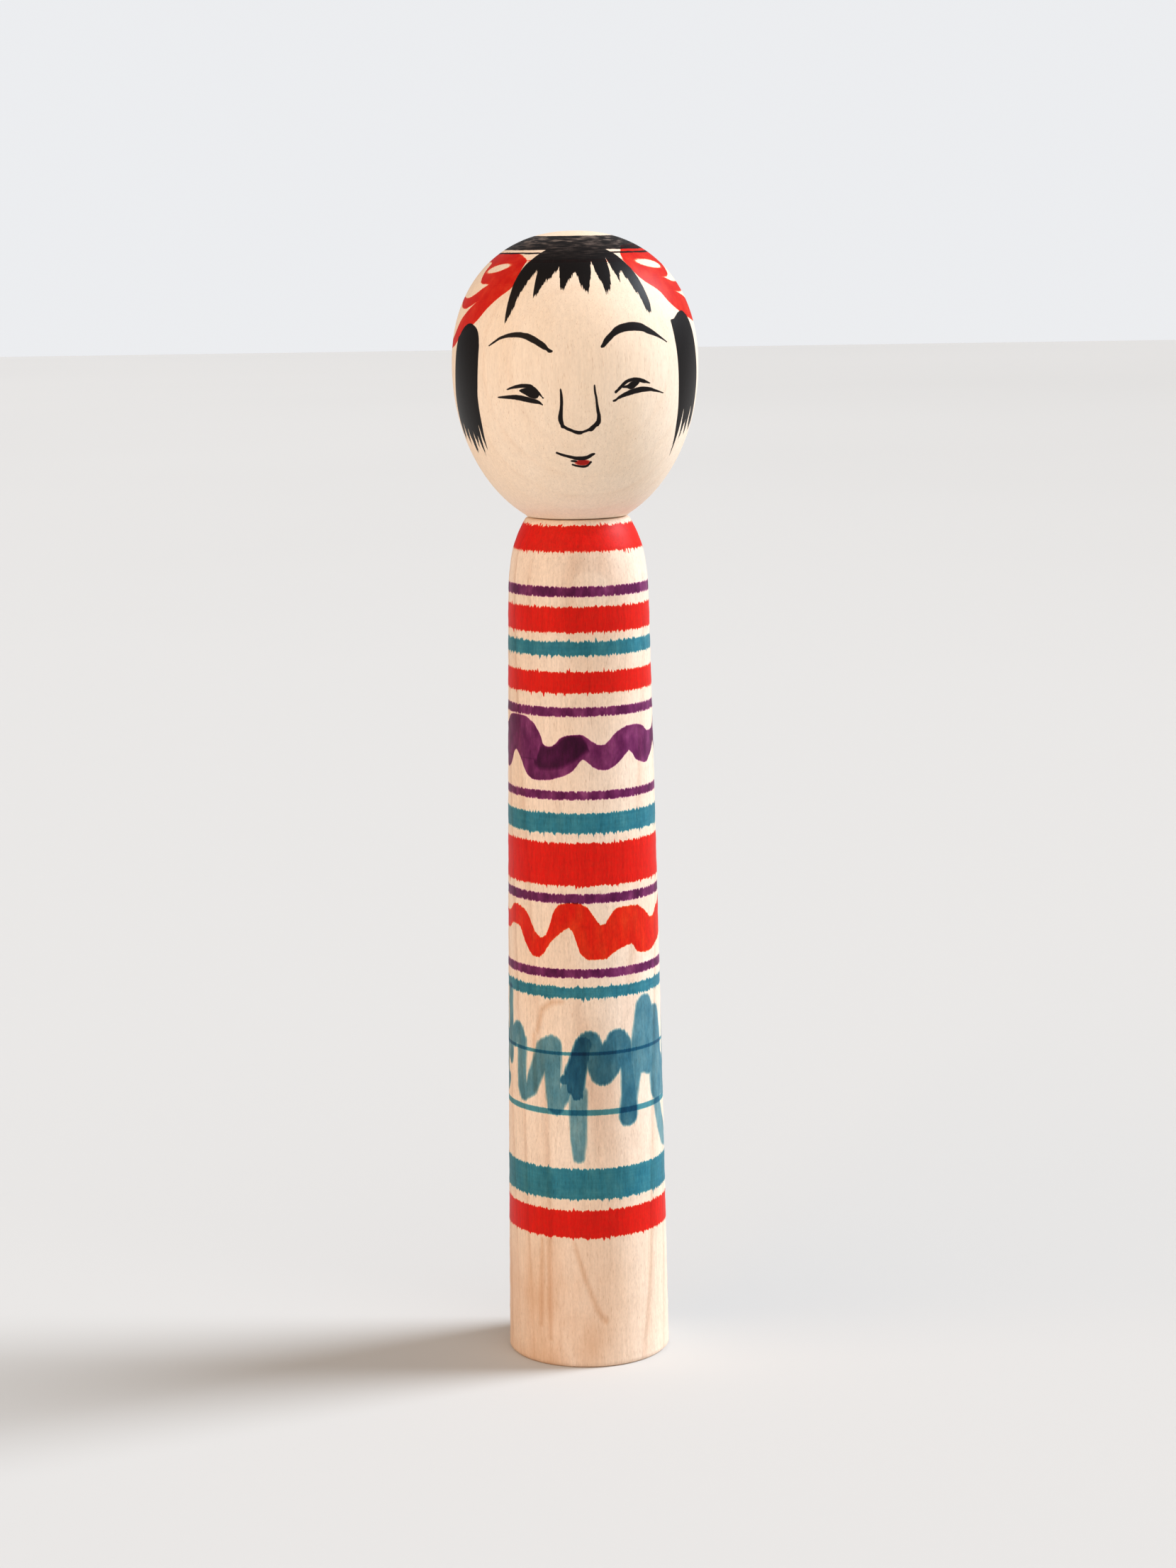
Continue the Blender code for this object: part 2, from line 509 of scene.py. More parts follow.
purpleWaveBottom = [
    (-180, 132.6), (-168, 130.6), (-156, 129.4), (-144, 130.6), (-132, 133.9, 1), (-124, 131.6),
    (-112, 129.6), (-100, 130.6), (-92, 133.2, 1), (-86, 131.2), (-80, 130), (-75, 130.3),
    (-68.5, 131.9), (-64.6, 133.7), (-61.6, 134.4, 1), (-58, 133.7), (-54, 132.3), (-49, 130.1),
    (-44, 128.9), (-36.5, 128.4), (-29, 128.5), (-18.6, 129.1), (-11, 129.8), (-4.5, 131.2),
    (-0.6, 132.6), (1.9, 133.1, 1), (5.8, 132.3), (12, 131), (18.6, 130.6), (23.7, 130.9),
    (30, 131.9), (36.5, 133.4), (40.8, 134.4, 1), (44, 133.7), (49, 132.1), (56, 131.4), (61, 131.1),
    (67, 131.9), (74, 133.4), (80, 135.1, 1), (86, 133), (94, 131), (106, 129.6), (118, 130.4),
    (126, 133.4, 1), (134, 131.4), (146, 129.8), (160, 130.6), (170, 133.8, 1), (180, 132.6)]
purpleOverlapTop = [
    (-37, 132.5), (-35, 134), (-30, 135.8), (-26, 135.4), (-20, 136), (-14, 137.4), (-8, 138),
    (-2, 138), (3, 137), (6, 135.2), (8, 133)]
purpleOverlapBottom = [
    (-40, 133), (-38, 131.6), (-30, 130.8), (-20, 131), (-10, 132), (-3, 133.2), (3, 134.5), (8, 135)]
orangeWaveTop = [
    (-180, 98), (-168, 100.6), (-156, 101.4), (-144, 99.6), (-134, 96), (-126, 95.4), (-116, 99),
    (-104, 101.6), (-92, 100.2), (-80, 98.6), (-67, 100.4), (-62, 100.7), (-54, 100.4), (-48, 99.5),
    (-41.6, 96.6), (-36.5, 94.9), (-33.4, 94.5), (-29, 95.6), (-25, 98.4), (-20, 101.3), (-14.7, 102.1),
    (-8, 102.3), (-0.6, 101.9), (5.8, 100.2), (11, 98.1), (14, 97.4), (18.6, 98.4), (23.7, 100.2),
    (30, 100.9), (40, 100.9), (50.6, 99.9), (58, 98.4), (64.6, 97.4), (71, 98.8), (80, 99.9),
    (92, 101.4), (104, 100.8), (116, 98), (124, 96.2), (132, 98.2), (144, 101.2), (156, 101.6),
    (168, 99.4), (180, 98)]
orangeWaveBottom = [
    (-180, 91.2), (-170, 90.4), (-158, 91.6), (-148, 94.8), (-142, 95.2, 1), (-134, 92), (-124, 90.2),
    (-112, 92.4), (-102, 95.8), (-96, 96.2, 1), (-88, 94.8), (-80, 94.9), (-72, 95.6), (-64.6, 96.5),
    (-59.5, 96.4), (-54, 94.9), (-48, 92.4), (-43, 90.7), (-38, 90.2), (-32.6, 90.9), (-27.5, 92.9),
    (-21, 95), (-14.7, 96.4), (-11, 97.1, 1), (-8.3, 96.1), (-4.5, 93.1), (-0.6, 90.9), (4.5, 90.1),
    (13.4, 90), (20, 90.7), (26, 91.8), (32.6, 92.4), (38.3, 92.7), (41.6, 92), (46.7, 90.7),
    (56, 90.3), (64.6, 90.7), (72, 91.6), (80, 92.4), (90, 95.2), (98, 96.4, 1), (104, 94),
    (114, 91), (126, 90.2), (138, 91.8), (148, 95.4), (154, 96.2, 1), (162, 93.6), (172, 91.6),
    (180, 91.2)]

# The scribble, drawn with a round brush: strokes of (azimuth, height, radius), by how much dye they left
scribble = {
    "light": [
        [(-74.5, 81, 1.6), (-74, 67, 1.6), (-73, 66, 1.0)],
        [(-79, 70.5, 1.8), (-68, 71.3, 2.2), (-60, 73, 2.1), (-55, 71.3, 1.7), (-54.8, 61, 1.5),
         (-52.5, 59.5, 1.5), (-45, 61.2, 1.8), (-38, 65.5, 1.9), (-31, 70.2, 2.3), (-25.5, 71.1, 2.3),
         (-24.3, 58, 1.45), (-22, 57.3, 1.3), (-17, 59.8, 1.3), (-13, 63, 1.4)],
        [(73, 65, 2.2), (76, 59.5, 2.2), (84, 59, 1.8), (90, 70, 1.9), (95, 77.5, 2.2), (99, 71, 1.9),
         (101.5, 60, 1.6), (107, 58.2, 1.5), (114, 65.5, 1.9), (120.5, 74.5, 2.3), (126, 69.5, 1.9),
         (130, 58.5, 1.6), (135, 57.3, 1.5), (141, 66, 1.8), (147.5, 73.5, 2.3), (152.5, 66, 1.9),
         (156.5, 57, 1.6), (163, 60, 1.6), (169, 70, 1.9), (174, 76.5, 2.1)],
        [(-178, 75, 1.9), (-172, 66, 1.7), (-167, 58.5, 1.5), (-160, 60.5, 1.6), (-153.5, 72, 2.2),
         (-148, 75.5, 2.2), (-143, 67, 1.7), (-139, 58.7, 1.5), (-132.5, 59.2, 1.5), (-126.5, 70, 2.0),
         (-121, 75.6, 2.2), (-116, 67.5, 1.8), (-112, 58, 1.5), (-105, 60.5, 1.6), (-99, 71, 2.1),
         (-92.5, 76.5, 2.2), (-88, 69, 1.8), (-84.5, 60, 1.5), (-80, 61.5, 1.3)],
    ],
    "medium": [
        [(35, 58, 1.6), (38.5, 63, 1.7), (43.5, 70.5, 2.2), (51, 78.3, 2.7), (55.5, 73.5, 3.2),
         (46, 66.4, 2.4)],
        [(49, 69, 3.0), (56, 66.4, 3.0), (60, 72, 3.2), (63.5, 75.6, 2.6), (66, 68, 3.2), (67, 59.8, 2.9)],
    ],
    "full": [
        [(3, 72, 2.5), (13, 65.2, 2.6), (19, 67.2, 2.7), (25, 71.8, 2.7), (29, 71, 2.3), (32.5, 66, 1.7),
         (34, 60, 2.0), (33, 55.4, 2.3)],
        [(13, 68.2, 2.5), (22, 71, 2.3)],
    ],
    "double": [
        [(-1, 71.6, 1.9), (-3.6, 69, 2.0), (-7.6, 65, 2.3), (-7.6, 62.2, 1.9), (-6.2, 60.6, 1.3)],
        [(-16, 63.8, 1.0), (-9, 64.2, 1.9)],
        [(-150, 74, 1.8), (-144, 67.5, 1.9), (-140.5, 61, 1.3)],
        [(121, 73, 1.8), (127, 66, 1.8), (129.5, 60.5, 1.2)],
    ],
    "drips": [
        [(-5.5, 61, 1.9), (-5.8, 51, 1.7), (-5.5, 46.9, 1.2)],
        [(66, 56.5, 1.5), (72, 51.5, 2.0), (79, 48, 2.1), (86, 46.5, 1.4)],
        [(148, 62, 1.6), (147, 51, 1.5), (147.3, 47.3, 1.1)],
        [(-111, 58, 1.6), (-111.6, 50, 1.4), (-111.2, 46.6, 1.0)],
    ],
}
grainMarks = [  # darker threads of late wood that show between the bands
    [(-38, 74, 0.25), (-33, 79, 0.4), (-25, 80.6, 0.4), (-17, 80.9, 0.2)],
    [(-41, 73, 0.25), (-40.4, 61, 0.2)],
    [(-10, 28, 0.0), (-2, 20, 0.15), (6, 13, 0.25), (12, 10.4, 0.35)],
    [(-29, 28, 0.15), (-28.4, 6, 0.2)],
    [(-35, 28, 0.15), (-36.5, 9, 0.2)],
]
girth = 0.291  # millimetres round the body to one degree, at the scribble


def bands(above, below, edges):
    # How far inside the nearest of several bands. The two heights differ by how far the dye crept
    # along the grain, below the lower edge and above the upper one.
    return union((above - low).least(high - below) for low, high in edges)


def dabs(spot, points):
    # one round-ended dab on the unrolled body from each point to the next
    for (startAz, startUp, startR), (endAz, endUp, endR) in zip(points, points[1:]):
        start = Vector((startAz * girth, startUp, 0))
        run = Vector((endAz * girth, endUp, 0)) - start
        offset = spot.node("VectorMath", {"operation": "SUBTRACT"}, {0: spot, 1: start[:]})
        share = offset.node("VectorMath", {"operation": "DOT_PRODUCT"},
                            {0: offset, 1: (run / run.length_squared)[:]}, out="Value")
        share = share.clamped()
        foot = share.node("VectorMath", {"operation": "SCALE"}, {0: run[:], "Scale": share})
        gap = foot.node("VectorMath", {"operation": "DISTANCE"}, {0: offset, 1: foot}, out="Value")
        yield share.maths("MULTIPLY_ADD", endR - startR, startR) - gap


def brushRun(spot, strokes):
    return union(dab for points in strokes for dab in dabs(spot, points))


def polar(start):
    # the place on the piece in millimetres, its parts, and the azimuth in degrees
    place = start.node("TexCoord", out="Object")
    place = place.node("VectorMath", {"operation": "SCALE"}, {0: place, "Scale": 1000.0})
    across = place.node("SeparateXYZ", None, {0: place}, out="X")
    deep, height = across.other("Y"), across.other("Z")
    azimuth = across.maths("ARCTAN2", -deep) * (180 / math.pi)
    return place, across, deep, height, azimuth


def bodyMaterial(look):
    material, start = newMaterial("body_painted_wood", look["finish"])
    place, across, _, height, azimuth = polar(start)
    wood, soft, ragged = look["wood"], look["soft"], look["ragged"]
    grain = woodGrain(place, height, wood)
    tone = woodColour(grain, wood)
    # painted shade: the foot darkens to brown in patches towards its lower left
    footShade = height.ramp(*look["footShadeUp"]) * across.ramp(*look["footShadeAcross"])
    footShade = footShade * place.noise(look["footShadePatches"], detail=3.0).ramp(0.2, 0.6)
    tone = (footShade * look["footShadeShare"]).mixed(tone, look["footShade"])

    teeth = place.noise(look["teeth"], detail=2.0) - 0.5
    wet = place.noise(look["wet"], detail=1.0).ramp(0.3, 0.7)
    creep = place.noise(look["creep"], detail=1.5).ramp(0.42, 0.82)
    lift = place.noise(look["lift"], detail=1.5).ramp(0.6, 0.2)
    above = height + teeth * ragged["band"] + creep * creep * depthOf(look["creepRun"], wet)
    below = height - teeth * ragged["band"] - lift * lift * depthOf(look["liftRun"], wet)
    thin = place.noise(look["smear"], detail=3.0).ramp(0.2, 0.62)
    speck = place.noise(look["speck"], detail=2.0).ramp(0.3, 0.7)
    pool = place.noise(look["pool"], detail=3.0).ramp(0.28, 0.72)

    # the scribble, between threads of late wood and two thin lines
    spot = azimuth.node("CombineXYZ", None, {0: azimuth * girth, 1: height})
    wobble = teeth * ragged["brush"]
    stain = union((brushRun(spot, scribble[name]) + wobble).edge(soft["brush"]) * load
                  for name, load in look["brushLoads"].items())
    stain = stain * depthOf(look["brushLay"], pool)
    marks = (brushRun(spot, grainMarks) + teeth * ragged["thread"]).edge(soft["thread"])
    bare = wood["pale"]
    tone = dyed(tone, marks * look["threadDepth"], dyeFor(wood["late"], bare))
    tone = dyed(tone, stain, dyeFor(look["brushDye"], bare))
    upper, lower = height + teeth * ragged["line"], height - teeth * ragged["line"]
    lines = bands(upper, lower, look["tealLines"]).edge(soft["line"])
    tone = dyed(tone, lines * look["lineDepth"], dyeFor(look["tealDye"], bare))

    teal = bands(above, below, look["teal"]).edge(soft["band"])
    tone = dyed(tone, teal * depthOf(look["tealLay"], thin, pool), dyeFor(look["tealDye"], bare))
    red = bands(above, below, look["red"]).edge(soft["band"])
    tone = dyed(tone, red * depthOf(look["redLay"], thin, speck), dyeFor(look["redDye"], bare))

    wave = between(height, azimuth.along(orangeWaveBottom), azimuth.along(orangeWaveTop))
    orange = (wave + teeth * ragged["orange"]).edge(soft["wave"])
    tone = dyed(tone, orange * depthOf(look["orangeLay"], pool), dyeFor(look["orangeDye"], bare))

    wave = between(height, azimuth.along(purpleWaveBottom), azimuth.along(purpleWaveTop))
    lines = bands(above, below, look["purple"])
    lines = lines.least(bands(height, height, look["purple"]) + look["purpleRun"])
    purple = lines.most(wave + teeth * ragged["purple"]).edge(soft["band"])
    twice = between(height, azimuth.along(purpleOverlapBottom), azimuth.along(purpleOverlapTop))
    twice = (twice + teeth * ragged["overlap"]).edge(soft["overlap"])
    tone = dyed(tone, purple * depthOf(look["purpleLay"], pool, twice), dyeFor(look["purpleDye"], bare))

    # the wood shows through the dye
    painted = teal.most(red).most(orange).most(purple).most(stain.clamped())
    tone = scaled(tone, 1 + painted * depthOf(look["showThrough"], speck, grain["fleck"]))
    rough = waxRoughness(grain, painted, look["wax"])
    normal = grainRelief(grain, look["relief"])
    connect(material, {"Base Color": tone, "Roughness": rough, "Normal": normal})
    return material


headPaint = {
    "centre": 212.7,  # height that tilts are taken from
    "crownRing": (15.8, 28.8),  # tilts of the black ring's edges
    "crownLine": (31.1, 0.42),  # tilt and half width of the thin line below it
    "fringeRoots": 27.0,
    "lip": (3.5, 128, 0.26, 0.8),  # azimuth, tilt and how fast it falls away each way
    "streaks": (1.7, 0.05),  # how fast the brush marks change across the hair and down it
    "turn": (2.6, 2.6, 0.3),  # size of the noise that runs round the crown
    "pool": (2.2, 2.2, 2.8),
    # how soft each edge is, and how ragged, in degrees
    "soft": {"hair": 0.22, "face": 0.2, "ribbon": 0.3},
    "ragged": {"hair": 0.5, "face": 0.3, "ribbon": 0.7, "ribbonStreak": 0.5, "crown": 0.8,
               "fringe": 8.0, "locks": 11.0},
    "ribbonLay": (0.4, 0.74),  # pool, then the least depth
    "hairDepth": 1.12,  # how deep the ink lies
    "hairWorn": 0.7,  # how much thinner it is where it is worn
    "faceDepth": 1.08,
    "faceBolder": 0.12,  # added to each half width
    "wornUp": (38, 22),  # tilts where the crown begins to be worn, and fully is
    "wornStreaks": 0.3,
    "inkDye": colour(26, 21, 20),
    "redDye": colour(204, 26, 8),
    "lipDye": colour(160, 28, 20),
    "wood": {
        "pith": (-6, 46, 0.05, 3.4),  # as on the body
        "warp": 4.0,
        "pale": colour(246, 226, 204),
        "warm": colour(242, 216, 188),
        "late": colour(206, 154, 110),
        "lateShare": 0.12,
        "pore": colour(186, 138, 100),
        "fleckDepth": 0.26,
        "gritDepth": 0.14,
    },
    "wax": {"bare": 0.5, "dyeSmooths": 0.06, "patches": 0.1},
    "relief": {"fleck": 0.6, "pore": 0.4, "late": 0.3, "strength": 0.3, "depth": 0.00005},
    "finish": {"Specular IOR Level": 0.11},
}

# The fringe: (azimuth, tilt) along its tips, and (tilt, azimuth) up its two outer edges
fringeTips = [
    (-36, 64), (-34.8, 65.5, 1), (-33.6, 63), (-31.5, 59), (-30, 54), (-28.5, 50.5), (-26, 46),
    (-23.2, 42), (-22.2, 41, 1), (-21.7, 50), (-21.3, 54, 1), (-20.5, 53.2), (-19.5, 53, 1), (-19, 52),
    (-16, 47), (-13, 44), (-10, 41), (-9, 39.3, 1), (-7.8, 45), (-7, 50), (-6.4, 51.5, 1),
    (-5.4, 50.4), (-4.5, 49, 1), (-3, 46.5), (0, 43), (0.9, 41.6, 1), (2.8, 45.5), (4.9, 50),
    (5.8, 51.8, 1), (7.6, 52.5, 1), (8.3, 49), (10, 44), (11, 39), (11.7, 35.6, 1), (13.6, 43),
    (16.4, 50), (17.2, 52.5, 1), (19.5, 51.4, 1), (20.2, 49), (22, 43), (22.6, 38), (23.1, 34.6, 1),
    (24.8, 42), (26, 45.5), (26.6, 48, 1), (27.4, 44.5), (29.6, 41, 1), (31.8, 46), (34, 51), (36, 54),
    (38, 60), (39.3, 61.5, 1), (40.8, 60.5), (41.2, 58)]
fringeLeft = [
    (28.5, -22), (31, -26), (35, -30), (39, -33), (44, -34.5), (50, -35.2), (60, -35.2), (65.5, -34.8)]
fringeRight = [
    (28, 26), (30, 29), (33, 33), (37.5, 36), (42, 38.5), (48, 40), (55, 41), (62, 41.2)]

# The side locks: edges as above, with the teeth of their lower ends
sideLocks = [
    {
        "top": [(-72, 72), (-70, 71), (-67, 68.3), (-64, 66.4), (-60, 65.4), (-56, 66.2), (-53, 67.8),
                (-51, 70.5), (-50.1, 74), (-49.6, 77)],
        "left": [(71, -71), (76, -72.5), (82, -73.5), (88, -74.5), (94, -76), (100, -78), (106, -79.5),
                 (110, -80.5), (120, -81)],
        "right": [(74, -49.9), (80, -50.2), (86, -50.6), (92, -51.2), (98, -52), (110, -52.4),
                  (120, -53.5), (127, -54)],
        "teeth": [(-82, 116), (-79, 119, 1), (-76, 116), (-74, 112.5, 1), (-72.8, 118), (-71.5, 121, 1),
                  (-70, 118), (-68.5, 113, 1), (-67, 121), (-65.5, 125, 1), (-64, 121), (-63, 115, 1),
                  (-62, 119), (-61, 121.5, 1), (-60, 119), (-59, 115.5, 1), (-58.3, 122),
                  (-57.5, 125, 1), (-56.3, 119), (-55.5, 110, 1), (-54.8, 118), (-54, 123.5, 1),
                  (-53.2, 122)],
    },
    {
        "top": [(52.5, 66), (53.3, 65), (56, 64.5), (58, 63.5), (62, 61.8), (66, 61.2), (70, 62.5),
                (73, 65), (75, 69), (76.5, 74)],
        "left": [(65, 53), (72, 53.8), (80, 54.8), (88, 55.6), (95, 56.3), (100, 57), (106, 58),
                 (112, 59), (120, 61), (127, 62.5)],
        "right": [(69, 75.2), (76, 76.5), (84, 77.8), (92, 79), (100, 79.8), (106, 80.5), (114, 81.5)],
        "teeth": [(58, 111), (61, 121), (62.7, 127, 1), (63.3, 112), (63.8, 106, 1), (64.6, 112),
                  (66, 119.5, 1), (67.6, 114), (69, 110, 1), (70.4, 115), (72, 118, 1), (72.7, 110),
                  (73.3, 104, 1), (74.5, 111), (77, 115, 1), (79, 114.6), (81.5, 114)],
    },
]

# The ribbons: upper and lower outline, an open loop (middle, half sizes and lean), the azimuth where the
# ribbon ends, and the gaps between its strands
ribbons = [
    {
        "upper": [(-110, 36.5), (-104, 35), (-96, 32.8), (-88, 31.5), (-80, 31), (-65, 30.8), (-50, 31),
                  (-44, 31.8), (-38, 33.6), (-33.3, 35.6)],
        "lower": [(-99, 77.4), (-90, 77.2), (-84, 76.5), (-80, 76), (-76, 75), (-72, 73), (-70, 71),
                  (-63, 68), (-56.5, 65.3), (-53, 63), (-50, 60), (-46, 56.6), (-42, 53.6), (-38, 51),
                  (-35.5, 49), (-34.5, 44), (-33.3, 35.6)],
        "loop": (-56, 39.9, 11.5, 2.2, -0.14),
        "end": 104,
        "gapEdge": 0.3,
        "gaps": [
            ([(-110, 35), (-104, 35.2), (-90, 35.6), (-79, 36), (-72.5, 36.6), (-71.3, 38.5), (-70.8, 41),
              (-69, 43.5), (-67, 45.5), (-64, 47), (-57, 47.4), (-54, 47.7)],
             [(-110, 57), (-100, 55), (-94, 54), (-84, 54.3), (-76, 54.8), (-70, 54.4), (-66, 53.4),
              (-62, 51.6), (-58, 49.6), (-54, 47.9)]),
            ([(-110, 52), (-100, 54), (-94, 54.9), (-90, 55.2), (-84, 56.2), (-80, 57.6), (-76, 58.4),
              (-71, 58.7), (-67, 58), (-63, 56.9), (-60, 55.8), (-56.5, 55.1)],
             [(-110, 80), (-99, 77.8), (-92, 75), (-84, 72.7), (-80, 71.3), (-78, 69.8), (-75, 67),
              (-72, 64.2), (-68, 61.4), (-64, 58.9), (-60, 56.6), (-56.5, 55.3)]),
        ],
    },
    {
        "upper": [(36, 36.5), (37.5, 32.5), (40, 30.5), (44, 28.2), (48, 26.5), (60, 25.5), (75, 25.5),
                  (90, 27), (100, 31), (108, 35.5)],
        "lower": [(36, 36.5), (37, 39), (39, 42.5), (41.5, 45.5), (45, 48), (50, 50.7), (52.5, 52.5),
                  (55, 55.5), (58, 58), (62, 60.3), (66, 62), (75, 64.4), (85, 66), (93, 66), (98, 62),
                  (101, 59)],
        "loop": (60, 38.2, 14.5, 2.5, 0.09),
        "end": 102,
        "gapEdge": 0.3,
        "gaps": [
            ([(61, 45.2), (68, 45), (75, 43.6), (80, 41.4), (88, 38.5), (98, 36), (110, 35)],
             [(61, 45.4), (66, 46.4), (70, 47.5), (75, 48.2), (85, 48.4), (95, 48.5), (110, 49)]),
            ([(66, 51.7), (75, 52.3), (85, 52), (95, 50.5), (103, 48.8)],
             [(66, 51.9), (75, 54), (85, 56), (95, 58), (104, 60)]),
        ],
    },
]

# The face, as (azimuth, tilt, half width) along each line
brows = [
    [(-43, 74.7, 0.1), (-40, 73.1, 0.3), (-35, 70.9, 0.5), (-30, 70, 0.8), (-27, 69.9, 0.95),
     (-24, 70.3, 1.05), (-20, 71.6, 1.4), (-16, 73.7, 1.4), (-13, 75.4, 1.0), (-10, 77, 0.1)],
    [(12, 75.3, 0.2), (13, 74.5, 0.9), (14.5, 73, 1.6), (17, 70.8, 1.5), (20, 68.6, 1.6),
     (24, 67.4, 1.6), (28, 67, 1.7), (32, 67.3, 1.6), (36, 68.7, 1.4), (40, 70.3, 0.9),
     (44, 72.3, 0.35), (47.5, 74.2, 0.05)],
]
upperLids = [
    [(-32.5, 94, 0.1), (-30, 93.2, 0.35), (-27, 92.6, 0.6), (-24, 92.3, 0.7), (-21.5, 92.5, 0.8),
     (-19, 93.7, 0.9), (-17, 95.3, 0.7), (-15.5, 96.9, 0.3), (-14.5, 97.8, 0.05)],
    [(18.2, 95.6, 0.3), (20, 94.4, 0.7), (22, 92.6, 0.8), (24, 91.1, 0.7), (26, 90.4, 0.6),
     (28, 90.2, 0.7), (30, 90.4, 0.7), (32, 90.9, 0.7), (34, 91.4, 0.45), (36.2, 92.1, 0.05)],
]
pupils = [
    [(-26.2, 94.5, 0.05), (-25, 94.6, 0.7), (-24, 94.7, 1.1), (-22, 95.05, 1.85), (-20, 95.6, 2.2),
     (-18, 95.9, 1.85), (-17, 96.1, 0.9), (-16.5, 96.2, 0.1)],
    [(22, 93.4, 0.2), (24, 93.3, 0.5), (25.5, 93.1, 1.2), (27, 92.7, 1.6), (28.5, 92.2, 1.2),
     (29.8, 91.7, 0.7), (30.5, 91.5, 0.05)],
]
lowerLids = [
    [(-38, 97.7, 0.1), (-35, 97.6, 0.4), (-30, 97.5, 0.8), (-27, 97.7, 1.0), (-24, 98.2, 1.05),
     (-20, 99.1, 0.9), (-17.5, 99.6, 0.7), (-15.7, 100.5, 0.3), (-15, 100.9, 0.05)],
    [(17.5, 99.6, 0.2), (20, 98.3, 0.5), (24, 96.6, 0.9), (27, 95.7, 1.1), (30, 95.1, 1.1),
     (33, 94.8, 1.0), (36, 94.9, 0.75), (39, 95.5, 0.45), (42, 96.2, 0.2), (44.5, 96.9, 0.05)],
]
noseAndMouth = [
    [[(-6.5, 110.6, 0.9), (-6, 110.8, 0.8), (-4, 112, 0.6), (-2, 112.8, 0.55), (0, 113.6, 0.65),
      (2, 113.9, 0.65), (4, 113.4, 0.4), (6, 112.7, 0.5), (8, 111.8, 1.2), (10, 109.8, 1.3)]],
    [[(-10, 123.3, 0.35), (-8, 124, 0.4), (-5, 124.8, 0.45), (-2, 125.5, 0.55), (0, 125.9, 0.65),
      (3, 126, 0.75), (5, 125.8, 0.75), (7, 125.1, 0.75), (9, 124.2, 0.45), (9.7, 124, 0.2)]],
    [[(-2, 129, 0.25), (1, 129.7, 0.3), (4, 130, 0.35), (6, 129.6, 0.4), (7.2, 128.6, 0.6),
      (8, 127.9, 0.4)]],
    [[(-2.6, 127.2, 0.15), (-1, 127.3, 0.3), (0.2, 127.4, 0.15)]],
]
# the two sides of the nose, as (tilt, azimuth, half width)
noseLeft = [(94, -6.6, 0.15), (96, -6.4, 0.35), (99, -6.3, 0.5), (102, -6.5, 0.55), (105, -6.9, 0.8),
            (107, -7.1, 0.95), (109, -6.8, 0.9), (110.5, -6.3, 0.6)]
noseRight = [(92.5, 8.8, 0.15), (95, 9, 0.3), (98, 9.6, 0.35), (101, 10, 0.4), (104, 10.5, 0.6),
             (107, 11, 0.75), (109, 10.9, 0.9), (110.5, 10.4, 0.7)]


fringeShare, ribbonShare = 0.8, 0.6  # one degree of azimuth there, in degrees of tilt


def ribbonShape(azimuth, tilt, ribbon):
    strand = between(tilt, azimuth.along(ribbon["upper"]), azimuth.along(ribbon["lower"]))
    middle, level, wide, tall, lean = ribbon["loop"]
    sides = (azimuth - middle) * (1 / wide)
    rise = (tilt - level - (azimuth - middle) * lean) * (1 / tall)
    strand = strand.least((distance(sides, rise) - 1) * tall)
    for upper, lower in ribbon["gaps"]:
        gap = between(tilt, azimuth.along(upper), azimuth.along(lower))
        strand = strand.least(ribbon["gapEdge"] - gap)
    return strand.least((ribbon["end"] - abs(azimuth)) * ribbonShare)


def fringeShape(azimuth, tilt, streak, look):
    fringe = azimuth.along(fringeTips) + streak * look["ragged"]["fringe"] - tilt
    fringe = fringe.least(tilt - look["fringeRoots"])
    fringe = fringe.least((azimuth - tilt.along(fringeLeft)) * fringeShare)
    return fringe.least((tilt.along(fringeRight) - azimuth) * fringeShare)


def lockShape(azimuth, tilt, streak, look, lock):
    strand = azimuth.along(lock["teeth"]) + streak * look["ragged"]["locks"] - tilt
    strand = strand.least(tilt - azimuth.along(lock["top"]))
    strand = strand.least(azimuth - tilt.along(lock["left"]))
    return strand.least(tilt.along(lock["right"]) - azimuth)


